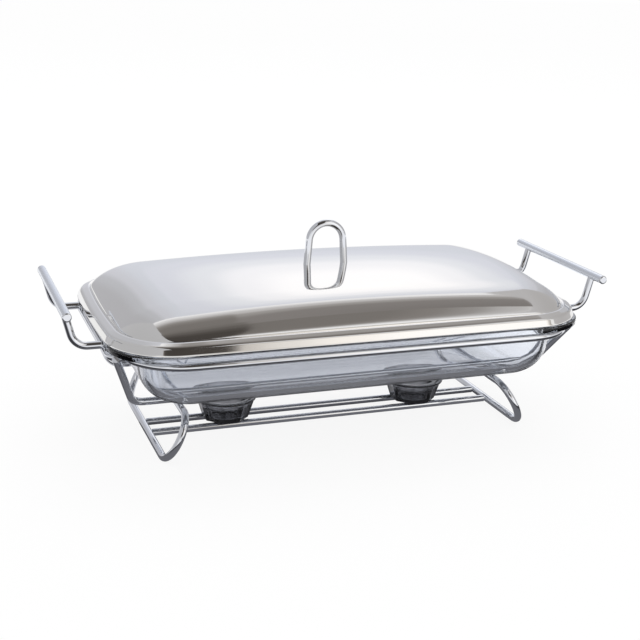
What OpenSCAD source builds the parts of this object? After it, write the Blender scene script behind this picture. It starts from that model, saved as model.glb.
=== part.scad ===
// Table chafing dish: a glass dish under a pressed lid, carried by a bent wire stand
// with two grips and two candle cups. Millimetres, table at z = 0, X along the length.

/* [Wire stand] */
// Diameter of every wire of the stand
wire_d = 6; // [5:0.5:7]
// Length of the top ring across its end corners, wire axis to wire axis
ring_l = 368; // [340:1:400]
// Width of the top ring, wire axis to wire axis
ring_w = 223; // [205:1:245]
// Bend radius of the ring's corners, at the wire axis
ring_corner_r = 45; // [40:1:50]
// Height of the ring's wire axis above the table
ring_h = 91.5; // [84:0.5:105]
// How far each end bay stands out past the ring's corners
bay_step = 10.7; // [9:0.1:13]

/* [Feet, cradles and rails] */
// Distance between the two floor bars
foot_span = 307; // [280:1:320]
// Height of the foot loop's upper bar above the table
foot_h = 38; // [33:0.5:44]
// How far the upper bar leans in over the floor bar
foot_lean = 17.5; // [12:0.5:24]
// Straight length of the floor bar
foot_bar_l = 122; // [100:1:135]
// Distance between the two cradle runs under the dish
cradle_w = 93.6; // [80:0.2:110]
// Length of a cradle run, corner to corner
cradle_l = 346; // [336:1:352]
// Bend radius at the cradle's corners
cradle_bend_r = 12; // [8:1:16]
// Distance between the two candle rails
rail_gap = 24.2; // [20:0.2:28]

/* [Side handles] */
// How far a grip stands out past the ring's bay, axis to axis
grip_out = 29.6; // [26:0.1:40]
// Height of the grips above the table
grip_h = 123.6; // [116:0.2:140]
// Length of a grip over its end caps
grip_l = 145.8; // [126:0.2:160]
// Diameter of a grip tube
grip_d = 7.2; // [6.6:0.1:9]
// Wall of a grip tube
grip_wall = 0.8; // [0.6:0.1:1.2]
// Distance between the two limbs of one handle
limb_gap = 109; // [96:1:116]
// Height of the limbs' level part over the ring
limb_rise = 4; // [3:0.1:4.6]
// Level reach of a limb from the ring's bay to its elbow
limb_reach = 22.5; // [20:0.5:25]
// Bend radius of a limb's elbow
limb_bend_r = 13; // [8:1:15]

/* [Glass dish] */
// Outside length of the bowl under its flange
dish_l = 351; // [330:1:362]
// Depth of the bowl below its flange
dish_depth = 43; // [36:0.5:46]
// Corner radius of the bowl
dish_corner_r = 42; // [38:1:48]
// Thickness of the glass wall and floor
dish_wall = 4.5; // [3.5:0.1:6]
// Slope of the bowl's walls
dish_taper = 9; // [5:0.5:12]
// Outside radius between wall and floor
dish_floor_r = 27; // [20:1:30]
// Thickness of the flange
flange_t = 5; // [4:0.1:6]

/* [Lid] */
// Height of the crown over the lid's lower edge
lid_h = 33.4; // [28:0.2:42]
// Height of the skirt up to its shoulder
skirt_h = 6.8; // [6:0.1:9]
// How far the skirt's lower edge stands out past its shoulder
skirt_flare = 2.6; // [1.5:0.1:4]
// Corner radius of the skirt's lower edge
lid_corner_r = 51; // [46:0.5:54]
// How far each end bows out past its corners
end_bow = 5; // [0:0.5:7]
// Sheet thickness
sheet_t = 0.8; // [0.6:0.1:1.2]
// Distance from the skirt's lower edge in to the dome along the sides
ledge_side = 9; // [8:0.1:11]
// The same distance at the ends
ledge_end = 10.4; // [9:0.1:13]
// How far the ledge climbs from the shoulder to the dome
ledge_rise = 2; // [1:0.1:3]
// Depth of the groove at the dome's foot
groove_d = 0.6; // [0.3:0.1:1.2]
// Width of the rolled edge of the dome
roll_w = 36; // [30:0.5:38]
// Radius of the crown along the lid
crown_r_long = 3000; // [2000:50:4000]
// Radius of the crown across the lid
crown_r_wide = 1000; // [700:10:1600]

/* [Lid handle] */
// Distance between the arch's legs at the lid
arch_w = 32.6; // [28:0.2:40]
// Height of the arch over the lid
arch_h = 37.6; // [30:0.2:46]
// Outward lean of each leg
arch_splay = 4; // [0:0.5:6]
// Thread size of the screws that hold the arch
screw_d = 3.4; // [2.6:0.1:3.6]

/* [Candle cups] */
// Diameter of a cup over its rim
cup_d = 52; // [50:0.5:58]
// Diameter of a cup's base over its corners
cup_base_d = 36; // [34:0.5:40]
// Height of a cup
cup_h = 18.5; // [16:0.1:20]
// Distance from a foot's floor bar to the middle of the cup beside it
cup_inset = 67.5; // [50:0.5:90]
// Diameter of the seat for a tea light
candle_d = 39; // [38:0.1:40]
// Depth of that seat
candle_depth = 6.6; // [5:0.1:8]

/* [Clearances] */
// Free height under each lifted piece where it rests
seat_gap = 0.25; // [0.1:0.05:0.3]
// Free play between the bowl and the ring's sides
dish_play = 1; // [0.6:0.1:2]
// Radial play of a grip's cap in its tube
plug_play = 0.03; // [0.02:0.01:0.1]
// Radial play of a screw in its tapped leg
thread_play = 0.03; // [0.02:0.01:0.1]

/* [Hidden] */
$fn = 72;

wire_r = wire_d / 2;

// Ring: the corner bend stops short, swings out through a tight bend and back into the bay
corner_turn = 71;
bay_heading = 12;
swing_r = wire_d * 0.92;
bay_x = ring_l / 2 + bay_step;
corner_x = ring_l / 2 - ring_corner_r;
corner_y = ring_w / 2 - ring_corner_r;
swing_x = corner_x + (ring_corner_r + swing_r) * sin(corner_turn);
swing_y = corner_y + (ring_corner_r + swing_r) * cos(corner_turn);
bay_r = (bay_x - swing_x + swing_r * sin(bay_heading)) / (1 - sin(bay_heading));
bay_half = swing_y - (swing_r + bay_r) * cos(bay_heading);
// A drawn wire thins a little in each bend
bend_d = wire_d - 0.04;
swing_d = wire_d - 0.08;

// Foot loop: two straight bars and two half-round ends in one leaning plane
foot_rise = foot_h - wire_r;
foot_end_r = sqrt(foot_rise * foot_rise + foot_lean * foot_lean) / 2;
foot_tilt = atan2(foot_rise, foot_lean);

// Cradle: lies on the foot loops' upper bars and rises in one leaning plane to the bays' bends
cradle_h = foot_h + wire_d;
cradle_weld_at = 27;
cradle_weld_off = wire_d * 0.95;
cradle_top = ring_h + wire_r - 2.1;
weld_x = bay_x - bay_r + (bay_r + cradle_weld_off) * sin(cradle_weld_at);
weld_y = bay_half + (bay_r + cradle_weld_off) * cos(cradle_weld_at);
leg_out = weld_x - cradle_l / 2;
leg_side = weld_y - cradle_w / 2;
leg_up = ring_h - cradle_h;
leg_slope = sqrt(leg_side * leg_side + leg_up * leg_up);
cradle_turn = atan2(leg_slope, leg_out);
cradle_tilt = 180 - atan2(leg_up, leg_side);
cradle_trim = cradle_bend_r * tan(cradle_turn / 2);
leg_full = sqrt(leg_out * leg_out + leg_slope * leg_slope);
leg_l = leg_full * (cradle_top - cradle_h) / leg_up - cradle_trim;

// Glass dish: its flange rests on the ring's crest
flange_z = ring_h + wire_r + seat_gap;
dish_w = ring_w - wire_d - 2 * dish_play;
dish_base_z = flange_z - dish_depth;
flange_end = bay_x + 0.8;
flange_side = ring_w / 2 + 2.4;
flange_corner_r = dish_corner_r + 4.7;
flange_edge_r = 1.2;

// Lid: its lower edge rests on the flange
lid_z = flange_z + flange_t + seat_gap;
lid_end = flange_end + 2.9;
lid_side = flange_side - flange_edge_r + 0.1;
shoulder_z = lid_z + skirt_h;
shoulder_r = 1.6;
groove_w = 1.6;
ledge_z = shoulder_z + ledge_rise;
dome_z = ledge_z - groove_d;
dome_end = lid_end - ledge_end;
dome_side = lid_side - ledge_side;
dome_corner_r = lid_corner_r - ledge_side;
crown_z = lid_z + lid_h;
dome_power = 1.6;
corner_steps = 10;
long_steps = 12;
short_steps = 8;
roll_steps = 10;

// Lid handle
arch_top = arch_h - wire_r;
arch_r = (arch_w / 2 - arch_top * tan(arch_splay))
  / (cos(arch_splay) - tan(arch_splay) * (1 - sin(arch_splay)));
arch_leg = (arch_top - arch_r * (1 - sin(arch_splay))) / cos(arch_splay);
washer_t = 0.8;
washer_d = screw_d * 2.6;
head_h = screw_d * 0.62;
thread_l = 12;
inner_crown_z = crown_z - sheet_t - seat_gap;

// Side handles
grip_x = bay_x + grip_out;
limb_h = ring_h + limb_rise;
limb_start = flange_end + 0.6;
elbow_x = bay_x + limb_reach;
limb_turn = atan2(grip_h - limb_h, grip_x - elbow_x);
limb_trim = limb_bend_r * tan(limb_turn / 2);
limb_rest = sqrt(pow(grip_h - limb_h, 2) + pow(grip_x - elbow_x, 2)) - limb_trim;
cap_h = 2.6;
cap_plug = 7;

// Candle cups
cup_z = wire_d + seat_gap;
cup_sides = 8;
rim_h = 2;

// One bend about its centre, lapped a little into the runs at both ends
module bend(radius, from, to, d) {
  lap = 10 / radius;
  rotate(from - lap)
    rotate_extrude(angle = to - from + 2 * lap) translate([radius, 0]) circle(d = d);
}

// One bent wire from the origin along X: [length] is a straight run, [radius, angle] a left bend
module wire(steps, i = 0) {
  if (i < len(steps)) {
    if (len(steps[i]) == 1) {
      rotate([0, 90, 0]) cylinder(d = wire_d, h = steps[i][0]);
      translate([steps[i][0], 0, 0]) wire(steps, i + 1);
    } else {
      translate([0, steps[i][0], 0]) {
        bend(steps[i][0], -90, steps[i][1] - 90, bend_d);
        rotate(steps[i][1]) translate([0, -steps[i][0], 0]) wire(steps, i + 1);
      }
    }
  }
}

// One profile swept round a rounded rectangle: x is measured out from the corner's centre
module swept_rim(half_l, half_w, corner_r) {
  for (mx = [0, 1], my = [0, 1])
    mirror([mx, 0, 0]) mirror([0, my, 0])
      translate([half_l - corner_r, half_w - corner_r, 0]) rotate_extrude(angle = 90) children();
  for (mx = [0, 1])
    mirror([mx, 0, 0]) translate([half_l - corner_r, half_w - corner_r, 0])
      rotate([90, 0, 0]) linear_extrude(2 * (half_w - corner_r)) children();
  for (my = [0, 1])
    mirror([0, my, 0]) translate([corner_r - half_l, half_w - corner_r, 0])
      rotate([90, 0, 90]) linear_extrude(2 * (half_l - corner_r)) children();
}

// The block inside the corner centres
module core_block(half_l, half_w, corner_r, z0, z1) {
  translate([corner_r - half_l, corner_r - half_w, z0])
    cube([2 * (half_l - corner_r), 2 * (half_w - corner_r), z1 - z0]);
}

// Half section of a bowl: sloped wall, round floor edge, flat floor
module bowl_section(rim_r, z_rim, z_floor, edge_r) {
  edge_x = rim_r - (z_rim - z_floor - edge_r) * tan(dish_taper) - edge_r / cos(dish_taper);
  polygon([
    [0, z_floor], [edge_x, z_floor],
    [edge_x + edge_r * cos(dish_taper), z_floor + edge_r * (1 - sin(dish_taper))],
    [rim_r, z_rim], [0, z_rim]
  ]);
  intersection() {
    translate([edge_x, z_floor + edge_r]) circle(edge_r);
    translate([edge_x, z_floor]) square([edge_r, edge_r]);
  }
}

module bowl(rim_r, z_rim, z_floor, edge_r) {
  swept_rim(dish_l / 2, dish_w / 2, dish_corner_r) bowl_section(rim_r, z_rim, z_floor, edge_r);
  core_block(dish_l / 2, dish_w / 2, dish_corner_r, z_floor, z_rim);
}

// Half section of the flange, rounded at its outer edge
module flange_section() {
  square([flange_corner_r - flange_edge_r, flange_t]);
  translate([0, flange_edge_r]) square([flange_corner_r, flange_t - 2 * flange_edge_r]);
  for (y = [flange_edge_r, flange_t - flange_edge_r])
    translate([flange_corner_r - flange_edge_r, y]) circle(flange_edge_r);
}

module glass_dish() {
  inner_rim_r = dish_corner_r - dish_wall / cos(dish_taper) + (flange_t + 1) * tan(dish_taper);
  color([0.8, 0.88, 0.93, 0.5])
    difference() {
      union() {
        bowl(dish_corner_r, flange_z + flange_t / 2, dish_base_z, dish_floor_r);
        translate([0, 0, flange_z]) {
          swept_rim(flange_end, flange_side, flange_corner_r) flange_section();
          core_block(flange_end, flange_side, flange_corner_r, 0, flange_t);
        }
      }
      bowl(inner_rim_r, flange_z + flange_t + 1, dish_base_z + dish_wall, dish_floor_r - dish_wall);
    }
}

// Lid: one loft of rounded rectangles, down the inside and up the outside
function rim_points(a, b, c) = [
  for (q = [0:3])
    let (
      cx = (q == 0 || q == 3 ? 1 : -1) * (a - c),
      cy = (q < 2 ? 1 : -1) * (b - c),
      nx = (q > 1 ? 1 : -1) * (a - c),
      ny = (q == 0 || q == 3 ? 1 : -1) * (b - c),
      runs = q % 2 == 0 ? long_steps : short_steps
    )
    for (i = [0:corner_steps + runs - 1])
      let (
        turn = 90 * (q + min(i, corner_steps) / corner_steps),
        f = max(0, i - corner_steps) / runs
      )
      bowed(cx + (nx - cx) * f + c * cos(turn), cy + (ny - cy) * f + c * sin(turn), a, b)
];
function bowed(x, y, a, b) = [x - sign(x) * end_bow * pow(x / a, 2) * pow(y / b, 2), y];
function crown(p) = crown_z - p[0] * p[0] / (2 * crown_r_long) - p[1] * p[1] / (2 * crown_r_wide);
function roll(q) = pow(1 - pow(1 - min(q, 1), dome_power), 1 / dome_power);
function flat_ring(end_in, side_in, c, z) =
  [for (p = rim_points(lid_end - end_in, lid_side - side_in, c)) [p[0], p[1], z]];
function inset_ring(s, z) = flat_ring(s, s, lid_corner_r - s, z);
function dome_ring(s, t) =
  [for (p = rim_points(dome_end - s - t, dome_side - s - t, dome_corner_r - s))
    [p[0], p[1], dome_z - t + (crown(p) - dome_z) * roll(s / roll_w)]];
function crown_ring(k, t) =
  [for (p = rim_points(dome_end - roll_w - t, dome_side - roll_w - t, dome_corner_r - roll_w))
    [p[0] * k, p[1] * k, crown(p * k) - t]];
function roll_at(i) = roll_w * (1 - cos(90 * i / roll_steps));

module lid_sheet() {
  t = sheet_t;
  c = lid_corner_r;
  f = skirt_flare;
  rings = concat(
    [for (k = [0.25, 0.5, 0.75]) crown_ring(k, t)],
    [for (i = [roll_steps:-1:0]) dome_ring(roll_at(i), t)],
    [flat_ring(ledge_end - groove_w + t, ledge_side - groove_w + t, c - ledge_side + groove_w - t, ledge_z - t)],
    [inset_ring(f + shoulder_r + t / 2, shoulder_z + shoulder_r / 4 - t)],
    [inset_ring(f + t, shoulder_z - 1 - t / 2)],
    [inset_ring(t, lid_z)],
    [inset_ring(0, lid_z)],
    [inset_ring(f - 0.5, shoulder_z - 1.3)],
    [inset_ring(f, shoulder_z - 0.5)],
    [inset_ring(f + 0.6, shoulder_z)],
    [inset_ring(f + shoulder_r, shoulder_z + shoulder_r / 4)],
    [flat_ring(ledge_end - groove_w, ledge_side - groove_w, c - ledge_side + groove_w, ledge_z)],
    [for (i = [0:roll_steps]) dome_ring(roll_at(i), 0)],
    [for (k = [0.75, 0.5, 0.25]) crown_ring(k, 0)]
  );
  n = len(rings[0]);
  m = len(rings);
  points = concat([for (r = rings) each r], [[0, 0, crown_z - t], [0, 0, crown_z]]);
  faces = concat(
    [for (i = [0:m - 2], j = [0:n - 1]) [i * n + j, (i + 1) * n + j, (i + 1) * n + (j + 1) % n]],
    [for (i = [0:m - 2], j = [0:n - 1]) [i * n + j, (i + 1) * n + (j + 1) % n, i * n + (j + 1) % n]],
    [for (j = [0:n - 1]) [m * n, j, (j + 1) % n]],
    [for (j = [0:n - 1]) [m * n + 1, (m - 1) * n + (j + 1) % n, (m - 1) * n + j]]
  );
  polyhedron(points, faces);
}

module lid_shell() {
  color([0.8, 0.81, 0.84])
    difference() {
      lid_sheet();
      for (x = [-1, 1])
        translate([x * arch_w / 2, 0, crown_z - 5]) cylinder(d = screw_d + 0.4, h = 10, $fn = 24);
    }
}

// Arch handle: two splayed legs and one round bend, tapped from below
module lid_handle() {
  color([0.6, 0.61, 0.64])
    difference() {
      translate([arch_w / 2, 0, crown_z]) rotate([90, 0, 0]) rotate(90 + arch_splay)
        translate([-1, 0, 0])
          wire([[arch_leg + 1], [arch_r, 180 - 2 * arch_splay], [arch_leg + 1]]);
      translate([-arch_w, -wire_d, crown_z - wire_d]) cube([2 * arch_w, 2 * wire_d, wire_d]);
      for (x = [-1, 1])
        translate([x * arch_w / 2, 0, crown_z - 1]) cylinder(d = screw_d, h = thread_l - 1);
    }
}

module lid_handle_screws() {
  color([0.45, 0.46, 0.48])
    for (x = [-1, 1])
      translate([x * arch_w / 2, 0, inner_crown_z - washer_t]) {
        translate([0, 0, -head_h]) cylinder(d = screw_d * 2, h = head_h);
        cylinder(r = screw_d / 2 - thread_play, h = thread_l - 2);
      }
}

module lid_handle_washers() {
  color([0.7, 0.7, 0.72])
    for (x = [-1, 1])
      translate([x * arch_w / 2, 0, inner_crown_z - washer_t])
        difference() {
          cylinder(d = washer_d, h = washer_t);
          translate([0, 0, -1]) cylinder(d = screw_d + 0.3, h = washer_t + 2);
        }
}

// Top ring: one closed wire with a bay at each end
module bay_bend() {
  translate([bay_x - bay_r, bay_half, 0]) bend(bay_r, 0, 90 - bay_heading, bend_d);
}

module top_ring() {
  color([0.62, 0.64, 0.68])
    translate([0, 0, ring_h]) {
      for (my = [0, 1])
        mirror([0, my, 0]) translate([-corner_x, ring_w / 2, 0])
          rotate([0, 90, 0]) cylinder(d = wire_d, h = 2 * corner_x);
      for (mx = [0, 1])
        mirror([mx, 0, 0]) translate([bay_x, bay_half, 0])
          rotate([90, 0, 0]) cylinder(d = wire_d, h = 2 * bay_half);
      for (mx = [0, 1], my = [0, 1])
        mirror([mx, 0, 0]) mirror([0, my, 0]) {
          translate([corner_x, corner_y, 0]) bend(ring_corner_r, 90 - corner_turn, 90, bend_d);
          translate([swing_x, swing_y, 0]) bend(swing_r, 270 - corner_turn, 270 - bay_heading, swing_d);
          bay_bend();
        }
    }
}

// One cradle: a run under the dish and two legs, each coped to the bay's bend it is welded to
module cradle() {
  leg_end = cradle_trim + leg_l;
  difference() {
    translate([0, -cradle_w / 2, cradle_h]) rotate([cradle_tilt, 0, 0])
      translate([-cradle_l / 2 - leg_end * cos(cradle_turn), leg_end * sin(cradle_turn), 0])
        rotate(-cradle_turn)
          wire([
            [leg_l], [cradle_bend_r, cradle_turn], [cradle_l - 2 * cradle_trim],
            [cradle_bend_r, cradle_turn], [leg_l]
          ]);
    for (mx = [0, 1])
      mirror([mx, 0, 0]) mirror([0, 1, 0]) translate([0, 0, ring_h]) bay_bend();
  }
}

module front_cradle() {
  color([0.55, 0.57, 0.62]) cradle();
}

module rear_cradle() {
  color([0.55, 0.57, 0.62]) mirror([0, 1, 0]) cradle();
}

module foot() {
  translate([foot_span / 2, -foot_bar_l / 2, wire_r]) rotate([0, foot_tilt, 0]) rotate([0, 0, 90])
    wire([[foot_bar_l], [foot_end_r, 180], [foot_bar_l], [foot_end_r, 180]]);
}

module right_foot() {
  color([0.66, 0.67, 0.7]) foot();
}

module left_foot() {
  color([0.66, 0.67, 0.7]) mirror([1, 0, 0]) foot();
}

module rail() {
  translate([wire_r - foot_span / 2, -rail_gap / 2, wire_r])
    rotate([0, 90, 0]) cylinder(d = wire_d, h = foot_span - wire_d);
}

module front_rail() {
  color([0.58, 0.6, 0.64]) rail();
}

module rear_rail() {
  color([0.58, 0.6, 0.64]) mirror([0, 1, 0]) rail();
}

// One limb: level over the bay, an elbow, then up to the grip, coped to both
module limb() {
  difference() {
    translate([limb_start, -limb_gap / 2, limb_h]) rotate([90, 0, 0])
      wire([[elbow_x - limb_trim - limb_start], [limb_bend_r, limb_turn], [limb_rest]]);
    translate([grip_x, -limb_gap, grip_h]) rotate([-90, 0, 0]) cylinder(d = grip_d, h = limb_gap);
    translate([bay_x, -limb_gap, ring_h]) rotate([-90, 0, 0]) cylinder(d = wire_d, h = limb_gap);
  }
}

module right_front_limb() {
  color([0.5, 0.52, 0.56]) limb();
}

module right_rear_limb() {
  color([0.5, 0.52, 0.56]) mirror([0, 1, 0]) limb();
}

module left_front_limb() {
  color([0.5, 0.52, 0.56]) mirror([1, 0, 0]) limb();
}

module left_rear_limb() {
  color([0.5, 0.52, 0.56]) mirror([1, 0, 0]) mirror([0, 1, 0]) limb();
}

// Grip: a plain tube closed by two pressed-in caps
module grip() {
  tube_l = grip_l - 2 * cap_h;
  translate([grip_x, -tube_l / 2, grip_h]) rotate([-90, 0, 0])
    difference() {
      cylinder(d = grip_d, h = tube_l);
      translate([0, 0, -1]) cylinder(d = grip_d - 2 * grip_wall, h = tube_l + 2);
    }
}

module right_grip() {
  color([0.82, 0.83, 0.86]) grip();
}

module left_grip() {
  color([0.82, 0.83, 0.86]) mirror([1, 0, 0]) grip();
}

// Cap: a plug inside the tube and a low domed head
module cap() {
  translate([grip_x, cap_h - grip_l / 2, grip_h]) rotate([90, 0, 0])
    rotate_extrude() {
      translate([0, -cap_plug]) square([grip_d / 2 - grip_wall - plug_play, cap_plug]);
      square([grip_d / 2 - cap_h / 2, cap_h]);
      square([grip_d / 2, cap_h / 2]);
      translate([grip_d / 2 - cap_h / 2, cap_h / 2])
        intersection() {
          circle(cap_h / 2);
          square(cap_h / 2);
        }
    }
}

module right_front_cap() {
  color([0.7, 0.72, 0.76]) cap();
}

module right_rear_cap() {
  color([0.7, 0.72, 0.76]) mirror([0, 1, 0]) cap();
}

module left_front_cap() {
  color([0.7, 0.72, 0.76]) mirror([1, 0, 0]) cap();
}

module left_rear_cap() {
  color([0.7, 0.72, 0.76]) mirror([1, 0, 0]) mirror([0, 1, 0]) cap();
}

// Cup: a turned cone, with some stock outside the flats that cut it up to its round rim, and a stepped seat
module cup() {
  neck_z = cup_h - rim_h;
  neck_r = cup_d / 2 - 1.2;
  flat_in = cup_base_d / 2 * cos(180 / cup_sides);
  flat_lean = atan2((neck_r - cup_base_d / 2) * cos(180 / cup_sides), neck_z);
  well_r = candle_d / 2 - 5;
  stock = 0.4;
  translate([foot_span / 2 - cup_inset, 0, cup_z])
    difference() {
      rotate_extrude()
        polygon([
          [0, 0], [cup_base_d / 2 + stock, 0], [neck_r + stock, neck_z], [cup_d / 2, neck_z + 0.8],
          [cup_d / 2, cup_h], [0, cup_h]
        ]);
      for (k = [0:cup_sides - 1])
        rotate(360 / cup_sides * k) translate([flat_in, 0, 0]) rotate([0, flat_lean, 0])
          translate([0, -cup_d / 2, -cup_h]) cube([cup_d / 2, cup_d, cup_h + (neck_z - 0.2) / cos(flat_lean)]);
      translate([0, 0, cup_h - candle_depth]) cylinder(d = candle_d, h = candle_depth + 1);
      translate([0, 0, 2.6]) cylinder(r = well_r, h = cup_h);
    }
}

module right_cup() {
  color([0.3, 0.31, 0.33]) cup();
}

module left_cup() {
  color([0.3, 0.31, 0.33]) mirror([1, 0, 0]) cup();
}

lid_shell();
lid_handle();
lid_handle_screws();
lid_handle_washers();
glass_dish();
top_ring();
front_cradle();
rear_cradle();
left_foot();
right_foot();
front_rail();
rear_rail();
left_front_limb();
left_rear_limb();
right_front_limb();
right_rear_limb();
left_grip();
right_grip();
left_front_cap();
left_rear_cap();
right_front_cap();
right_rear_cap();
left_cup();
right_cup();
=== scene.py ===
import math
import bpy
from mathutils import Matrix, Vector


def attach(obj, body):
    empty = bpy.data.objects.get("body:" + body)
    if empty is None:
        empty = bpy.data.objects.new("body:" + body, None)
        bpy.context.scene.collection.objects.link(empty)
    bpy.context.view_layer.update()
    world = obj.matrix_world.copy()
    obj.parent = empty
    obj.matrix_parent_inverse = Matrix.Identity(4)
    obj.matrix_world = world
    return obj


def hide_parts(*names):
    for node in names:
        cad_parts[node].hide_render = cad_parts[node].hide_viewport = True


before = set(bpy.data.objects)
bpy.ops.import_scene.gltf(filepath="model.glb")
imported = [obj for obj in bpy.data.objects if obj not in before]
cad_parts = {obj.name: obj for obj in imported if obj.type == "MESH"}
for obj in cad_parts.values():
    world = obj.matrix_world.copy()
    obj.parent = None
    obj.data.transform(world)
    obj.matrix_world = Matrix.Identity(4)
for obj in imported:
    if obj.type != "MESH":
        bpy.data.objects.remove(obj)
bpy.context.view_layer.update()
mm = 0.001
print("frame loaded:", len(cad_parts), "nodes")


# sRGB hex to linear colour
def hexColour(code):
    parts = [int(code[i:i + 2], 16) / 255 for i in (0, 2, 4)]
    linear = [part / 12.92 if part <= 0.04045 else ((part + 0.055) / 1.055) ** 2.4 for part in parts]
    return linear + [1.0]


# one node, its settings and what feeds it
def addNode(tree, kind, settings, links):
    node = tree.nodes.new(kind)
    for key, value in settings.items():
        if isinstance(key, str) and hasattr(node, key):
            setattr(node, key, value)
        else:
            node.inputs[key].default_value = value
    for key, source in links.items():
        tree.links.new(source, node.inputs[key])
    return node


# a new material with one shader on its output
def newMaterial(name, shaderKind, settings):
    material = bpy.data.materials.new(name)
    material.use_nodes = True
    tree = material.node_tree
    tree.nodes.clear()
    shader = addNode(tree, shaderKind, settings, {})
    output = addNode(tree, "ShaderNodeOutputMaterial", {}, {"Surface": shader.outputs[0]})
    return material, tree, shader, output


# a smooth mesh object from points in millimetres
def addMesh(name, points, faces, material):
    mesh = bpy.data.meshes.new(name)
    mesh.from_pydata([(x * mm, y * mm, z * mm) for x, y, z in points], [], faces)
    mesh.validate()
    for polygon in mesh.polygons:
        polygon.use_smooth = True
    piece = bpy.data.objects.new(name, mesh)
    bpy.context.scene.collection.objects.link(piece)
    piece.data.materials.append(material)
    return piece


# quads between closed rings of equal count, with a point to close each end
def loftRings(rings, startPoint, endPoint):
    count = len(rings[0])
    points = [point for ring in rings for point in ring] + [startPoint, endPoint]
    faces = []
    for row in range(len(rings) - 1):
        this = row * count
        following = this + count
        for step in range(count):
            ahead = (step + 1) % count
            faces.append((this + step, this + ahead, following + ahead, following + step))
    last = (len(rings) - 1) * count
    startIndex = len(points) - 2
    endIndex = len(points) - 1
    faces += [(startIndex, (step + 1) % count, step) for step in range(count)]
    faces += [(endIndex, last + step, last + (step + 1) % count) for step in range(count)]
    return points, faces


# rounded rectangle, the same count of points whatever its size
def roundedRect(halfX, halfY, corner, z):
    cornerSteps, longSteps, shortSteps = 24, 56, 34
    flatX = halfX - corner
    flatY = halfY - corner
    ring = []
    for quarter in range(4):
        fromX = flatX if quarter in (0, 3) else -flatX
        fromY = flatY if quarter < 2 else -flatY
        toX = flatX if quarter > 1 else -flatX
        toY = flatY if quarter in (0, 3) else -flatY
        sideSteps = longSteps if quarter % 2 == 0 else shortSteps
        for step in range(cornerSteps + sideSteps):
            turn = math.pi / 2 * (quarter + min(step, cornerSteps) / cornerSteps)
            share = max(0, step - cornerSteps) / sideSteps
            ring.append((fromX + (toX - fromX) * share + corner * math.cos(turn),
                         fromY + (toY - fromY) * share + corner * math.sin(turn), z))
    return ring


# rings evenly spread from one ring to another, the second included
def ringsBetween(first, second, count):
    rings = []
    for step in range(1, count + 1):
        rings.append([tuple(a + (b - a) * step / count for a, b in zip(start, end))
                      for start, end in zip(first, second)])
    return rings


noiseSpan = {"From Min": 0.3, "From Max": 0.7}  # where noise has most of its values

# materials of the metal pieces

# stainless steel sheet, deep drawn and mirror polished: a sharp mirror with a slight pull in its lines
lidSteel, tree, shader, output = newMaterial("stainlessSteelMirrorPolished", "ShaderNodeBsdfPrincipled",
                                             {"Base Color": hexColour("e6e5e3"), "Metallic": 1.0})
place = addNode(tree, "ShaderNodeTexCoord", {}, {})
pull = addNode(tree, "ShaderNodeTexNoise",
               {"Scale": 1 / (45 * mm), "Detail": 1.0},  # waves left by the press
               {"Vector": place.outputs["Object"]})
haze = addNode(tree, "ShaderNodeTexNoise",
               {"Scale": 1 / (12 * mm), "Detail": 4.0},  # clouds of buffing haze
               {"Vector": place.outputs["Object"]})
gloss = addNode(tree, "ShaderNodeMapRange", {**noiseSpan, "To Min": 0.045, "To Max": 0.07},
                {"Value": haze.outputs[0]})
bump = addNode(tree, "ShaderNodeBump", {"Strength": 1.0, "Distance": 0.02 * mm},
               {"Height": pull.outputs[0]})
tree.links.new(gloss.outputs[0], shader.inputs["Roughness"])
tree.links.new(bump.outputs[0], shader.inputs["Normal"])

# drawn steel wire under bright chrome plate: a cool clear mirror, a little clouded where the plate is thin
wireChrome, tree, shader, output = newMaterial("steelWireBrightChromePlated", "ShaderNodeBsdfPrincipled",
                                               {"Base Color": hexColour("e2e4e8"), "Metallic": 1.0})
place = addNode(tree, "ShaderNodeTexCoord", {}, {})
cloud = addNode(tree, "ShaderNodeTexNoise",
                {"Scale": 1 / (20 * mm), "Detail": 2.0},  # clouds in the plate
                {"Vector": place.outputs["Object"]})
gloss = addNode(tree, "ShaderNodeMapRange", {**noiseSpan, "To Min": 0.03, "To Max": 0.06},
                {"Value": cloud.outputs[0]})
tree.links.new(gloss.outputs[0], shader.inputs["Roughness"])

# steel tube, belt ground and satin plated: pale, with a broad soft sheen across the tube
satinTube, tree, shader, output = newMaterial("steelTubeSatinPlated", "ShaderNodeBsdfPrincipled",
                                              {"Base Color": hexColour("e2e6ec"), "Metallic": 1.0})
place = addNode(tree, "ShaderNodeTexCoord", {}, {})
# belt lines round the tube, drawn 2 mm apart because the real ones are too fine to show
squeeze = addNode(tree, "ShaderNodeMapping", {"Scale": (1 / (20 * mm), 1 / (2 * mm), 1 / (20 * mm))},
                  {"Vector": place.outputs["Object"]})
belt = addNode(tree, "ShaderNodeTexNoise", {"Scale": 1.0, "Detail": 1.0}, {"Vector": squeeze.outputs[0]})
gloss = addNode(tree, "ShaderNodeMapRange", {**noiseSpan, "To Min": 0.25, "To Max": 0.27},
                {"Value": belt.outputs[0]})
tree.links.new(gloss.outputs[0], shader.inputs["Roughness"])

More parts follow.
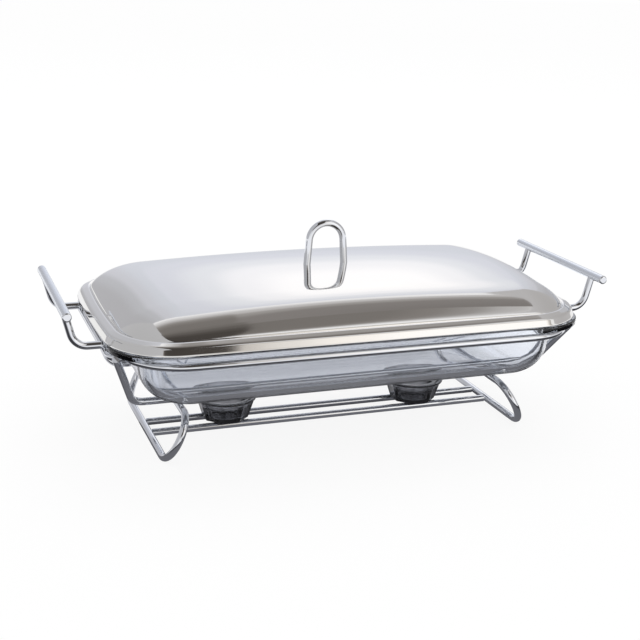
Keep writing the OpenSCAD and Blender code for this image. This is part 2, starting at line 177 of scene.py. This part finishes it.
# zinc plated steel, as the platers' barrel leaves it: grey, dull, with faint spangle
zincSteel, tree, shader, output = newMaterial("steelZincPlated", "ShaderNodeBsdfPrincipled",
                                              {"Metallic": 1.0})
place = addNode(tree, "ShaderNodeTexCoord", {}, {})
spangle = addNode(tree, "ShaderNodeTexVoronoi",
                  {"Scale": 1 / (1.2 * mm)},  # size of a spangle
                  {"Vector": place.outputs["Object"]})
tone = addNode(tree, "ShaderNodeValToRGB", {}, {0: spangle.outputs["Distance"]})
tone.color_ramp.elements[0].color = hexColour("c2c6ca")
tone.color_ramp.elements[1].color = hexColour("a9adb2")
gloss = addNode(tree, "ShaderNodeMapRange", {"To Min": 0.28, "To Max": 0.45},
                {"Value": spangle.outputs["Distance"]})
tree.links.new(tone.outputs[0], shader.inputs["Base Color"])
tree.links.new(gloss.outputs[0], shader.inputs["Roughness"])

# materials of the glass pieces

# clear oven glass, pressed and fire polished: faint mould ripple, a blue edge where the light has far to go
clearGlass, tree, shader, output = newMaterial("ovenGlassPressedClear", "ShaderNodeBsdfPrincipled",
                                               {"Base Color": hexColour("f6f8fb"), "IOR": 1.49,
                                                "Transmission Weight": 1.0})
place = addNode(tree, "ShaderNodeTexCoord", {}, {})
ripple = addNode(tree, "ShaderNodeTexNoise",
                 {"Scale": 1 / (30 * mm), "Detail": 1.0},  # ripple from the plunger
                 {"Vector": place.outputs["Object"]})
film = addNode(tree, "ShaderNodeTexNoise",
               {"Scale": 1 / (20 * mm), "Detail": 3.0},  # smears left by wiping
               {"Vector": place.outputs["Object"]})
bump = addNode(tree, "ShaderNodeBump", {"Strength": 1.0, "Distance": 0.04 * mm},
               {"Height": ripple.outputs[0]})
gloss = addNode(tree, "ShaderNodeMapRange", {**noiseSpan, "To Min": 0.0, "To Max": 0.03},
                {"Value": film.outputs[0]})
tint = addNode(tree, "ShaderNodeVolumeAbsorption", {"Color": hexColour("aab5c5"), "Density": 9.0}, {})
tree.links.new(bump.outputs[0], shader.inputs["Normal"])
tree.links.new(gloss.outputs[0], shader.inputs["Roughness"])
tree.links.new(tint.outputs[0], output.inputs["Volume"])

# smoke grey glass, pressed: dark where it is thick, with a slight chill ripple in its shine
smokeGlass, tree, shader, output = newMaterial("sodaGlassPressedSmokeGrey", "ShaderNodeBsdfPrincipled",
                                               {"Base Color": hexColour("d4d5d8"), "IOR": 1.55,
                                                "Transmission Weight": 1.0})
place = addNode(tree, "ShaderNodeTexCoord", {}, {})
ripple = addNode(tree, "ShaderNodeTexNoise",
                 {"Scale": 1 / (8 * mm), "Detail": 0.0},  # chill ripple
                 {"Vector": place.outputs["Object"]})
bump = addNode(tree, "ShaderNodeBump", {"Strength": 1.0, "Distance": 0.01 * mm},
               {"Height": ripple.outputs[0]})
gloss = addNode(tree, "ShaderNodeMapRange", {**noiseSpan, "To Min": 0.02, "To Max": 0.08},
                {"Value": ripple.outputs[0]})
tint = addNode(tree, "ShaderNodeVolumeAbsorption", {"Color": hexColour("6a6a70"), "Density": 150.0}, {})
tree.links.new(bump.outputs[0], shader.inputs["Normal"])
tree.links.new(gloss.outputs[0], shader.inputs["Roughness"])
tree.links.new(tint.outputs[0], output.inputs["Volume"])
print("materials made")

# pressed lid: flared skirt, climbing ledge, groove, rolled edge and crown in one sheet
lidSizes = {
    "halfX": 198.4, "halfY": 112.8, "corner": 51.0, "endBow": 5.0, "sheet": 0.8,
    "skirtFoot": 100.0, "skirtHeight": 6.2, "skirtFlare": 2.4, "shoulderRound": 1.6,
    "ledgeEnd": 10.4, "ledgeSide": 9.0, "ledgeRise": 2.6, "grooveWidth": 1.6, "grooveDepth": 0.6,
    "rollWidth": 41.0, "rollEase": 2.3, "rollPower": 1.35,
    "crownTop": 133.7, "crownLong": 3000.0, "crownWide": 650.0,
    "hemSteps": 6, "skirtSteps": 4, "shoulderSteps": 10, "ledgeSteps": 5, "grooveSteps": 7, "rollSteps": 40,
    "crownSteps": 16,
}


# a rounded rectangle whose ends bow out
def bowedRing(halfX, halfY, corner, z):
    bow = lidSizes["endBow"]
    return [(x - math.copysign(bow * (x / halfX) ** 2 * (y / halfY) ** 2, x), y, height)
            for x, y, height in roundedRect(halfX, halfY, corner, z)]


def crownHeight(x, y):
    sizes = lidSizes
    return sizes["crownTop"] - x * x / (2 * sizes["crownLong"]) - y * y / (2 * sizes["crownWide"])


# outer face of skirt and shoulder: inset, height, and which way the sheet lies from it
def skirtSection():
    sizes = lidSizes
    flare, height, bend = sizes["skirtFlare"], sizes["skirtHeight"], sizes["shoulderRound"]
    hemRound = sizes["sheet"] / 2
    lean = math.atan2(flare, height)
    climb = math.atan2(sizes["ledgeRise"], sizes["ledgeSide"] - sizes["grooveWidth"] - flare)
    startIn, startZ = flare - bend * math.sin(lean), height - bend * math.cos(lean)
    endIn, endZ = flare + bend * math.cos(climb), height + bend * math.sin(climb)
    section = []
    for step in range(sizes["skirtSteps"] + 1):
        share = step / sizes["skirtSteps"]
        section.append((startIn * share, hemRound + (startZ - hemRound) * share, lean))
    for step in range(1, sizes["shoulderSteps"] + 1):
        share = step / sizes["shoulderSteps"]
        ofStart, ofMiddle, ofEnd = (1 - share) ** 2, 2 * share * (1 - share), share * share
        section.append((ofStart * startIn + ofMiddle * flare + ofEnd * endIn,
                        ofStart * startZ + ofMiddle * height + ofEnd * endZ,
                        lean + (math.pi / 2 - climb - lean) * share))
    return section


# one face of the sheet from the skirt's foot to the crown, so deep inside the outer face
def lidRings(depth):
    sizes = lidSizes
    section = skirtSection()
    rings = []
    for inset, z, lean in section:
        inward = inset + depth * math.cos(lean)
        rings.append(bowedRing(sizes["halfX"] - inward, sizes["halfY"] - inward, sizes["corner"] - inward,
                               sizes["skirtFoot"] + z - depth * math.sin(lean)))
    startIn, startZ = section[-1][:2]
    endZ = sizes["skirtHeight"] + sizes["ledgeRise"]
    for step in range(1, sizes["ledgeSteps"] + 1):  # ledge
        share = step / sizes["ledgeSteps"]
        endIn = startIn + (sizes["ledgeEnd"] - sizes["grooveWidth"] - startIn) * share + depth
        sideIn = startIn + (sizes["ledgeSide"] - sizes["grooveWidth"] - startIn) * share + depth
        rings.append(bowedRing(sizes["halfX"] - endIn, sizes["halfY"] - sideIn, sizes["corner"] - sideIn,
                               sizes["skirtFoot"] + startZ + (endZ - startZ) * share - depth))
    domeX = sizes["halfX"] - sizes["ledgeEnd"]
    domeY = sizes["halfY"] - sizes["ledgeSide"]
    domeCorner = sizes["corner"] - sizes["ledgeSide"]
    ledgeTop = sizes["skirtFoot"] + endZ
    domeFoot = ledgeTop - sizes["grooveDepth"]
    for step in range(1, sizes["grooveSteps"]):  # groove at the dome's foot
        share = step / sizes["grooveSteps"]
        drop = (1 - math.cos(math.pi * share)) / 2
        back = sizes["grooveWidth"] * (1 - share)
        rings.append(bowedRing(domeX + back - depth, domeY + back - depth, domeCorner + back,
                               ledgeTop - depth - sizes["grooveDepth"] * drop))
    for step in range(sizes["rollSteps"] + 1):  # rolled edge up to the crown
        inset = sizes["rollWidth"] * (1 - math.cos(math.pi / 2 * step / sizes["rollSteps"]))
        share = inset / sizes["rollWidth"]
        rise = (1 - (1 - share) ** sizes["rollEase"]) ** (1 / sizes["rollPower"])
        ring = bowedRing(domeX - inset - depth, domeY - inset - depth, domeCorner - inset, 0)
        rings.append([(x, y, domeFoot - depth + (crownHeight(x, y) - domeFoot) * rise) for x, y, z in ring])
    crownEdge = bowedRing(domeX - sizes["rollWidth"] - depth, domeY - sizes["rollWidth"] - depth,
                          domeCorner - sizes["rollWidth"], 0)
    for step in range(1, sizes["crownSteps"]):  # crown
        share = 1 - step / sizes["crownSteps"]
        rings.append([(x * share, y * share, crownHeight(x * share, y * share) - depth)
                      for x, y, z in crownEdge])
    return rings


outside = lidRings(0.0)
inside = lidRings(lidSizes["sheet"])
hem = []
for step in range(lidSizes["hemSteps"] + 1):  # round lower edge of the sheet
    turn = math.pi * step / lidSizes["hemSteps"]
    inset = lidSizes["sheet"] / 2 * (1 + math.cos(turn))
    hem.append(bowedRing(lidSizes["halfX"] - inset, lidSizes["halfY"] - inset, lidSizes["corner"] - inset,
                         lidSizes["skirtFoot"] + lidSizes["sheet"] / 2 * (1 - math.sin(turn))))
points, faces = loftRings(inside[::-1][:-1] + hem + outside[1:],
                          (0, 0, lidSizes["crownTop"] - lidSizes["sheet"]), (0, 0, lidSizes["crownTop"]))
lidPiece = addMesh("lid_pressed", points, faces, lidSteel)
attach(lidPiece, "lid")
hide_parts("lid_shell")
print("lid made:", len(faces), "faces")

# glass dish: flat floor, wide round floor edge, leaning wall, flange with a round edge
dishSizes = {
    "centreX": 133.5, "centreY": 65.5, "rim": 42.0, "wall": 4.5, "taper": 9.0, "base": 51.75,
    "floorRadius": 27.0, "flangeFoot": 94.75, "flangeTop": 99.75, "flangeX": 195.5, "flangeY": 113.9,
    "flangeCorner": 46.7, "flangeRound": 1.2, "mouthRound": 2.2, "neckRound": 3.0,
    "cutOver": 1.0,  # height over the flange at which the inside is measured
    "leastCorner": 0.01,  # keeps the corner points of the floor's middle apart
    "middleSteps": 8, "floorSteps": 3, "edgeSteps": 16, "wallSteps": 6, "softSteps": 6, "flangeSteps": 4,
    "rimSteps": 12,
}


# a ring of the bowl, so far outside the rectangle in the middle of its floor
def bowlRing(reach, z):
    sizes = dishSizes
    return roundedRect(sizes["centreX"] + reach, sizes["centreY"] + reach, reach + sizes["leastCorner"], z)


# rings over the rectangle in the middle of a floor
def middleRings(z):
    count = dishSizes["middleSteps"]
    edge = bowlRing(0, z)
    return [[(x * step / count, y * step / count, z) for x, y, height in edge] for step in range(1, count)]


# one face of the bowl from its floor to the top of its wall: reach and height
def dishWall(rim, rimZ, floorZ, edgeRadius, topZ):
    sizes = dishSizes
    lean = math.radians(sizes["taper"])
    edgeReach = rim - (rimZ - floorZ - edgeRadius) * math.tan(lean) - edgeRadius / math.cos(lean)
    profile = [(edgeReach * step / sizes["floorSteps"], floorZ) for step in range(sizes["floorSteps"] + 1)]
    for step in range(1, sizes["edgeSteps"] + 1):
        turn = (math.pi / 2 - lean) * step / sizes["edgeSteps"]
        profile.append((edgeReach + edgeRadius * math.sin(turn), floorZ + edgeRadius * (1 - math.cos(turn))))
    lowReach, lowZ = profile[-1]
    topReach = rim - (rimZ - topZ) * math.tan(lean)
    for step in range(1, sizes["wallSteps"] + 1):
        profile.append((lowReach + (topReach - lowReach) * step / sizes["wallSteps"],
                        lowZ + (topZ - lowZ) * step / sizes["wallSteps"]))
    return profile


def dishRings():
    sizes = dishSizes
    foot, top, edge = sizes["flangeFoot"], sizes["flangeTop"], sizes["flangeRound"]
    half = (top - foot) / 2
    lean = math.radians(sizes["taper"])
    cutTop = top + sizes["cutOver"]
    innerRim = sizes["rim"] - sizes["wall"] / math.cos(lean) + (cutTop - foot) * math.tan(lean)
    outer = dishWall(sizes["rim"], foot + half, sizes["base"], sizes["floorRadius"],
                     foot - sizes["neckRound"])
    inner = dishWall(innerRim, cutTop, sizes["base"] + sizes["wall"], sizes["floorRadius"] - sizes["wall"],
                     top - sizes["mouthRound"])
    rings = middleRings(sizes["base"]) + [bowlRing(reach, z) for reach, z in outer]
    neckReach = outer[-1][0]
    for step in range(1, sizes["softSteps"] + 1):  # soft corner under the flange
        turn = math.pi / 2 * step / sizes["softSteps"]
        rings.append(bowlRing(neckReach + sizes["neckRound"] * (1 - math.cos(turn)),
                              foot - sizes["neckRound"] * (1 - math.sin(turn))))
    flangeUnder = roundedRect(sizes["flangeX"] - edge, sizes["flangeY"] - edge,
                              sizes["flangeCorner"] - edge, foot)
    rings += ringsBetween(rings[-1], flangeUnder, sizes["flangeSteps"])
    for step in range(1, sizes["rimSteps"] + 1):  # outer edge of the flange, its lower half first
        turn = math.pi * step / sizes["rimSteps"]
        inset = edge * (1 - math.sin(turn))
        side = 1 if step < sizes["rimSteps"] / 2 else -1
        rings.append(roundedRect(sizes["flangeX"] - inset, sizes["flangeY"] - inset,
                                 sizes["flangeCorner"] - inset,
                                 foot + half - (half - edge) * side - edge * math.cos(turn)))
    mouthReach = inner[-1][0] + sizes["mouthRound"]
    rings += ringsBetween(rings[-1], bowlRing(mouthReach, top), sizes["flangeSteps"])
    for step in range(1, sizes["softSteps"] + 1):  # soft mouth
        turn = math.pi / 2 * step / sizes["softSteps"]
        rings.append(bowlRing(mouthReach - sizes["mouthRound"] * math.sin(turn),
                              top - sizes["mouthRound"] * (1 - math.cos(turn))))
    rings += [bowlRing(reach, z) for reach, z in inner[::-1][1:]]
    rings += middleRings(sizes["base"] + sizes["wall"])[::-1]
    return rings


points, faces = loftRings(dishRings(), (0, 0, dishSizes["base"]),
                          (0, 0, dishSizes["base"] + dishSizes["wall"]))
dishPiece = addMesh("dish_pressed_glass", points, faces, clearGlass)
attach(dishPiece, "dish")
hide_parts("glass_dish")
print("dish made:", len(faces), "faces")

# candle cups: a cone cut by eight flats with a sunk panel in each, a round lip, a stepped seat
cupSizes = {
    "x": 86.0, "foot": 6.25, "height": 18.5, "baseRadius": 19.4, "neckHeight": 16.5, "neckRadius": 24.8,
    "rimRadius": 26.0, "rimFoot": 16.9, "seatRadius": 19.5, "seatDepth": 6.6, "wellRadius": 14.5,
    "wellFloor": 2.6, "flats": 8, "flatShoulder": 1.0, "mouldReach": 0.8, "mouldRound": 0.4,
    "panelDepth": 0.25, "panelEdge": 2.0, "panelSlope": 1.2,
    "panelWidth": 0.8, "panelSide": 0.18,  # shares of half a flat
    "edgeSoft": (0.5, 0.15), "floorSoft": (1.2, 0.35),  # ends and middle of a soft edge
    "floorRadii": (7.0, 3.0),
    "footOutline": [(0.3, 0.0), (0.6, 0.0), (0.9, 0.0), (0.97, 0.08), (1.0, 0.3)],  # share of radius, height
    "steps": 320, "wallSteps": 34, "lipSteps": 10,
}


# 0 to 1 with soft ends
def ease(share):
    share = min(1.0, max(0.0, share))
    return share * share * (3 - 2 * share)


# how deep the sunk panel is at this share of half a flat and at this height, from 0 to 1
def panelShare(across, z):
    sizes = cupSizes
    side = ease((sizes["panelWidth"] - across) / sizes["panelSide"])
    foot = ease((z - sizes["panelEdge"]) / sizes["panelSlope"])
    return side * foot * ease((sizes["neckHeight"] - sizes["panelEdge"] - z) / sizes["panelSlope"])


# radius of the flat-sided wall, its edges rounded by the mould
def wallRadius(angle, z, share):
    sizes = cupSizes
    halfFlat = math.pi / sizes["flats"]
    coneSlope = (sizes["neckRadius"] - sizes["baseRadius"]) / sizes["neckHeight"]
    flatIn = sizes["baseRadius"] * math.cos(halfFlat)
    flatSlope = coneSlope * math.cos(halfFlat)
    fromFlat = (angle + halfFlat) % (2 * halfFlat) - halfFlat
    cone = sizes["baseRadius"] + coneSlope * z
    plane = (flatIn + flatSlope * z) / math.cos(fromFlat)
    shoulder = max(0.0, 1 - (sizes["neckHeight"] - z) / sizes["flatShoulder"])
    plane += (cone - plane) * shoulder
    nearEdge = max(0.0, 0.5 - abs(cone - plane) / sizes["mouldReach"])
    radius = (min(cone, plane) - nearEdge ** 2 * sizes["mouldRound"]) * share
    return radius - sizes["panelDepth"] * panelShare(abs(fromFlat) * sizes["flats"] / math.pi, z)


# a soft edge from a flat down to a wall, and a soft corner from a wall down to a floor
def softEdge(radius, z, soft):
    ends, middle = soft
    return [("round", radius + ends, z), ("round", radius + middle, z - middle), ("round", radius, z - ends)]


def softCorner(radius, z, soft):
    ends, middle = soft
    return [("round", radius, z + ends), ("round", radius - middle, z + middle), ("round", radius - ends, z)]


# a cup's outline from the foot over the lip into the well: flat or round, share or radius, height
def cupProfile():
    sizes = cupSizes
    profile = [("flat", share, z) for share, z in sizes["footOutline"]]
    footTop = sizes["footOutline"][-1][1]
    for step in range(1, sizes["wallSteps"] + 1):
        profile.append(("flat", 1.0, footTop + (sizes["neckHeight"] - footTop) * step / sizes["wallSteps"]))
    lipMid = (sizes["rimFoot"] + sizes["height"]) / 2
    lipRound = (sizes["height"] - sizes["rimFoot"]) / 2
    for step in range(sizes["lipSteps"] + 1):
        turn = -math.pi / 2 + math.pi * step / sizes["lipSteps"]
        profile.append(("round", sizes["rimRadius"] - lipRound + lipRound * math.cos(turn),
                        lipMid + lipRound * math.sin(turn)))
    seatZ = sizes["height"] - sizes["seatDepth"]
    profile += softEdge(sizes["seatRadius"], sizes["height"], sizes["edgeSoft"])
    profile += softCorner(sizes["seatRadius"], seatZ, sizes["edgeSoft"])
    profile += softEdge(sizes["wellRadius"], seatZ, sizes["edgeSoft"])
    profile += softCorner(sizes["wellRadius"], sizes["wellFloor"], sizes["floorSoft"])
    profile += [("round", radius, sizes["wellFloor"]) for radius in sizes["floorRadii"]]
    return profile


def cupRings(centreX):
    rings = []
    for kind, value, z in cupProfile():
        ring = []
        for step in range(cupSizes["steps"]):
            angle = 2 * math.pi * step / cupSizes["steps"]
            radius = wallRadius(angle, z, value) if kind == "flat" else value
            ring.append((centreX + radius * math.cos(angle), radius * math.sin(angle), cupSizes["foot"] + z))
        rings.append(ring)
    return rings


for side, sign in (("left", -1), ("right", 1)):
    centre = sign * cupSizes["x"]
    points, faces = loftRings(cupRings(centre), (centre, 0, cupSizes["foot"]),
                              (centre, 0, cupSizes["foot"] + cupSizes["wellFloor"]))
    cupPiece = addMesh(side + "_cup_glass", points, faces, smokeGlass)
    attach(cupPiece, side + "_cup_body")
    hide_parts(side + "_cup")
print("cups made")

# the CAD wires, tubes and fasteners stay and take the metals
nodeFinish = {
    "lid_shell": lidSteel, "glass_dish": clearGlass, "left_cup": smokeGlass, "right_cup": smokeGlass,
    "lid_handle_screws": zincSteel, "lid_handle_washers": zincSteel,
    "left_grip": satinTube, "right_grip": satinTube,
}
for nodeName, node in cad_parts.items():
    node.data.materials.clear()
    node.data.materials.append(nodeFinish.get(nodeName, wireChrome))
print("nodes dressed")

# studio in metres: pale floor, white room, soft lamp, and cards for the metal to mirror
studio = {
    "floorHalf": 12.0, "floorColour": "f7f7f7", "floorGlow": 0.9, "roomLight": 0.97,
    "lampWatts": 20.0, "lampSide": 2.4, "lampPlace": (0.7, 1.5, 2.8), "lampAim": (0, 0, 0.1),
    "cardTop": 3.0, "cardGlow": 1.27,
}


# 1 for rays of the camera, of mirrors and through glass
def seenPath(tree):
    path = addNode(tree, "ShaderNodeLightPath", {}, {})
    seen = addNode(tree, "ShaderNodeMath", {"operation": "MAXIMUM"},
                   {0: path.outputs["Is Camera Ray"], 1: path.outputs["Is Glossy Ray"]})
    return addNode(tree, "ShaderNodeMath", {"operation": "MAXIMUM"},
                   {0: seen.outputs[0], 1: path.outputs["Is Transmission Ray"]})


# matt white paint that looks white but still takes the object's shadow
floorPaint, tree, shader, output = newMaterial("floorMattWhite", "ShaderNodeBsdfPrincipled",
                                               {"Base Color": hexColour(studio["floorColour"]),
                                                "Roughness": 0.8, "Specular IOR Level": 0.1})
glow = addNode(tree, "ShaderNodeEmission", {"Color": (1, 1, 1, 1), "Strength": 1.0}, {})
glowShare = addNode(tree, "ShaderNodeMath", {"operation": "MULTIPLY", 1: studio["floorGlow"]},
                    {0: seenPath(tree).outputs[0]})
mix = addNode(tree, "ShaderNodeMixShader", {},
              {0: glowShare.outputs[0], 1: shader.outputs[0], 2: glow.outputs[0]})
tree.links.new(mix.outputs[0], output.inputs["Surface"])
floorHalf = studio["floorHalf"] / mm
floorCorners = [(-floorHalf, -floorHalf, 0), (floorHalf, -floorHalf, 0),
                (floorHalf, floorHalf, 0), (-floorHalf, floorHalf, 0)]
floor = addMesh("floor", floorCorners, [(0, 1, 2, 3)], floorPaint)

# for each card: corners, the heart where its colours start, how far they run along each axis (0 for
# no change along it), and the colours at shares of that run
top = studio["cardTop"]
cards = {
    "backCard": {  # pale wall that leans over from behind
        "corners": [(-8, 4.6, 0), (8, 4.6, 0), (8, 1.35, top), (-8, 1.35, top)],
        "heart": (1.3, 2.6, 1.85), "run": (2.4, 0, 3.4),
        "colours": [(0.0, "ffffff"), (0.13, "fbfafc"), (0.22, "eeeef2"), (0.28, "dddfe5"), (0.345, "d0d2db"),
                    (0.42, "c9ccd4"), (0.65, "c3c4cb"), (0.78, "b5b6bb"), (1.0, "adadb1")],
    },
    "ceilingCard": {  # grey ceiling
        "corners": [(-0.33 * top, 0.45 * top, top), (0.75 * top, 0.45 * top, top), (0.75 * top, -top, top),
                    (-0.55 * top, -top, top), (-0.33 * top, -0.3 * top, top)],
        "heart": (0.0, -0.2 * top, top), "run": (0.74 * top, 0.64 * top, 0),
        "colours": [(0.0, "6e6a67"), (0.55, "75716e"), (0.65, "7f7b78"), (0.72, "8f8c8a"), (0.8, "b0aeae"),
                    (0.88, "cac9ca"), (1.0, "e6e6e8")],
    },
    "darkCard": {  # dark front part of the ceiling
        "corners": [(-0.55 * top, 0.0, 0.985 * top), (0.21 * top, 0.0, 0.985 * top),
                    (0.29 * top, -top, 0.985 * top), (-0.55 * top, -top, 0.985 * top)],
        "heart": (-0.2 * top, -0.9 * top, top), "run": (top, 0.88 * top, 0),
        "colours": [(0.0, "3d3936"), (0.7, "45413e"), (0.8, "4e4a47"), (0.9, "5e5a57"), (1.0, "6e6a67")],
    },
    "shelfCard": {  # grey strip over the right end
        "corners": [(0.2 * top, -0.08 * top, 0.99 * top), (1.05 * top, -0.08 * top, 0.99 * top),
                    (1.05 * top, 0.35 * top, 0.99 * top), (0.2 * top, 0.35 * top, 0.99 * top)],
        "heart": (0.5 * top, -0.08 * top, top), "run": (0.5 * top, 0.4 * top, 0),
        "colours": [(0.0, "787472"), (0.6, "7f7b79"), (0.8, "969391"), (1.0, "bab8b8")],
    },
    "frontCard": {  # front wall, dark above and pale below
        "corners": [(-2.2, -top, 0), (0.5, -top, 0), (0.78, -top, 1.6), (1.0, -top, top), (-2.2, -top, top)],
        "heart": (-0.1, -top, top), "run": (3, 0, 3),
        "colours": [(0.0, "3d3936"), (0.5, "423e3b"), (0.58, "4e4946"), (0.62, "8c8885"), (0.67, "c4c2c1"),
                    (0.8, "d6d6d7"), (1.0, "dededf")],
    },
    "windowCard": {  # bright window to the right of the front wall
        "corners": [(0.4, -1.02 * top, 0), (4.2, -1.02 * top, 0),
                    (4.2, -1.02 * top, top), (0.4, -1.02 * top, top)],
        "heart": (2.2, -top, 0.8), "run": (2.0, 0, 2.4),
        "colours": [(0.0, "ffffff"), (0.4, "fffdfb"), (0.52, "f6f1ec"), (0.62, "e0dcd8"), (0.7, "c8c3be"),
                    (1.0, "a09c98")],
    },
    "leftCard": {  # grey wall that leans over from the left
        "corners": [(-0.95, -3, top), (-0.95, 4.6, top), (-3.4, 4.6, 0), (-3.4, -3, 0)],
        "heart": (-2.0, 0, 1.5), "run": (3, 4, 3),
        "colours": [(0.0, "b0b0b2"), (1.0, "b6b6b9")],
    },
    "rightCard": {  # grey wall that leans over from the right
        "corners": [(3.4, 1.75, 0), (3.4, -1.6, 0), (1.9, -1.6, top), (1.9, 1.75, top)],
        "heart": (3.0, 0.5, 1.5), "run": (3, 4, 3),
        "colours": [(0.0, "a9a7a7"), (1.0, "bcbbbd")],
    },
    "tableShadowCard": {  # grey table top with the stand's shadow painted dark round its middle, pale further out
        "corners": [(-1.2, -1.2, 0.0005), (1.2, -1.2, 0.0005), (1.2, 1.0, 0.0005), (-1.2, 1.0, 0.0005)],
        "heart": (0, -0.07, 0), "run": (0.9, 0.3, 0),
        # the dark stops from 0.3 to 0.55 are the painted shadow under the dish and lid
        "colours": [(0.0, "6c6c6f"), (0.2, "66666a"), (0.3, "3a3a3d"), (0.55, "3e3e41"), (0.7, "a0a0a3"),
                    (1.0, "e8e8ea")],
    },
    "tableEndCard": {  # pale table top behind the stand, a little over the card with the painted shadow
        "corners": [(-0.4, 0.02, 0.0006), (0.4, 0.02, 0.0006), (0.4, 0.52, 0.0006), (-0.4, 0.52, 0.0006)],
        "heart": (0, 0.27, 0), "run": (0.4, 0.25, 0),
        "colours": [(0.0, "cfcfd2"), (0.75, "c8c8cc"), (1.0, "98989b")],
    },
    "tableSideCard": {  # white patch by the right end, a little over both
        "corners": [(0.19, 0.0, 0.0007), (0.6, 0.0, 0.0007), (0.6, 0.35, 0.0007), (0.19, 0.35, 0.0007)],
        "heart": (0.33, 0.14, 0), "run": (0.16, 0.16, 0),
        "colours": [(0.0, "ffffff"), (0.7, "f2f2f4"), (1.0, "cfcfd2")],
    },
}

# the cards themselves, seen by metal and glass alone; their colours run out in rounded boxes
for name, card in cards.items():
    paint, tree, shader, output = newMaterial(name + "Paint", "ShaderNodeEmission",
                                              {"Strength": studio["cardGlow"]})
    perRun = tuple(1 / run if run else 0 for run in card["run"])
    place = addNode(tree, "ShaderNodeTexCoord", {}, {})
    away = addNode(tree, "ShaderNodeVectorMath", {"operation": "SUBTRACT", 1: card["heart"]},
                   {0: place.outputs["Object"]})
    scaled = addNode(tree, "ShaderNodeVectorMath", {"operation": "MULTIPLY", 1: perRun}, {0: away.outputs[0]})
    squares = addNode(tree, "ShaderNodeVectorMath", {"operation": "MULTIPLY"},
                      {0: scaled.outputs[0], 1: scaled.outputs[0]})
    length = addNode(tree, "ShaderNodeVectorMath", {"operation": "LENGTH"}, {0: squares.outputs[0]})
    root = addNode(tree, "ShaderNodeMath", {"operation": "SQRT"}, {0: length.outputs["Value"]})
    ramp = addNode(tree, "ShaderNodeValToRGB", {}, {0: root.outputs[0]})
    stops = ramp.color_ramp
    stops.interpolation = "EASE"
    while len(stops.elements) < len(card["colours"]):
        stops.elements.new(0.5)
    for element, (position, code) in zip(stops.elements, card["colours"]):
        element.position = position
        element.color = hexColour(code)
    tree.links.new(ramp.outputs[0], shader.inputs["Color"])
    corners = [(x / mm, y / mm, z / mm) for x, y, z in card["corners"]]
    board = addMesh(name, corners, [tuple(range(len(corners)))], paint)
    board.visible_camera = False
    board.visible_diffuse = False
    board.visible_shadow = False

lampData = bpy.data.lights.new("softLamp", "AREA")
lampData.shape = "SQUARE"
lampData.size = studio["lampSide"]
lampData.energy = studio["lampWatts"]
lamp = bpy.data.objects.new("softLamp", lampData)
lamp.location = studio["lampPlace"]
lampWay = Vector(studio["lampAim"]) - Vector(studio["lampPlace"])
lamp.rotation_euler = lampWay.to_track_quat("-Z", "Y").to_euler()
lamp.visible_glossy = False
bpy.context.scene.collection.objects.link(lamp)

world = bpy.data.worlds.new("whiteRoom")
bpy.context.scene.world = world
world.use_nodes = True
tree = world.node_tree
tree.nodes.clear()
strength = addNode(tree, "ShaderNodeMapRange", {"To Min": studio["roomLight"], "To Max": 1.0},
                   {"Value": seenPath(tree).outputs[0]})
room = addNode(tree, "ShaderNodeBackground", {"Color": (1, 1, 1, 1)}, {"Strength": strength.outputs[0]})
addNode(tree, "ShaderNodeOutputWorld", {}, {"Surface": room.outputs[0]})

# camera where the photograph was taken from: turns in radians, lens and sensor in millimetres
cameraPlace = {"yaw": 0.3518, "pitch": 0.2924, "roll": 0.0293, "lens": 66.95, "sensor": 36.0,
               "place": (-0.33596, -0.90622, 0.3749)}
yaw, pitch, roll = cameraPlace["yaw"], cameraPlace["pitch"], cameraPlace["roll"]
levelAcross = Vector((math.cos(yaw), -math.sin(yaw), 0))
levelUp = Vector((math.sin(yaw) * math.sin(pitch), math.cos(yaw) * math.sin(pitch), math.cos(pitch)))
ahead = Vector((math.sin(yaw) * math.cos(pitch), math.cos(yaw) * math.cos(pitch), -math.sin(pitch)))
across = math.cos(roll) * levelAcross + math.sin(roll) * levelUp
upward = -math.sin(roll) * levelAcross + math.cos(roll) * levelUp
cameraData = bpy.data.cameras.new("camera")
cameraData.lens = cameraPlace["lens"]
cameraData.sensor_width = cameraPlace["sensor"]
camera = bpy.data.objects.new("camera", cameraData)
spot = Vector(cameraPlace["place"])
rows = [[across[i], upward[i], -ahead[i], spot[i]] for i in range(3)]
camera.matrix_world = Matrix(rows + [[0, 0, 0, 1]])
bpy.context.scene.collection.objects.link(camera)
bpy.context.scene.camera = camera
bpy.context.scene.view_settings.view_transform = "Standard"
print("studio ready")
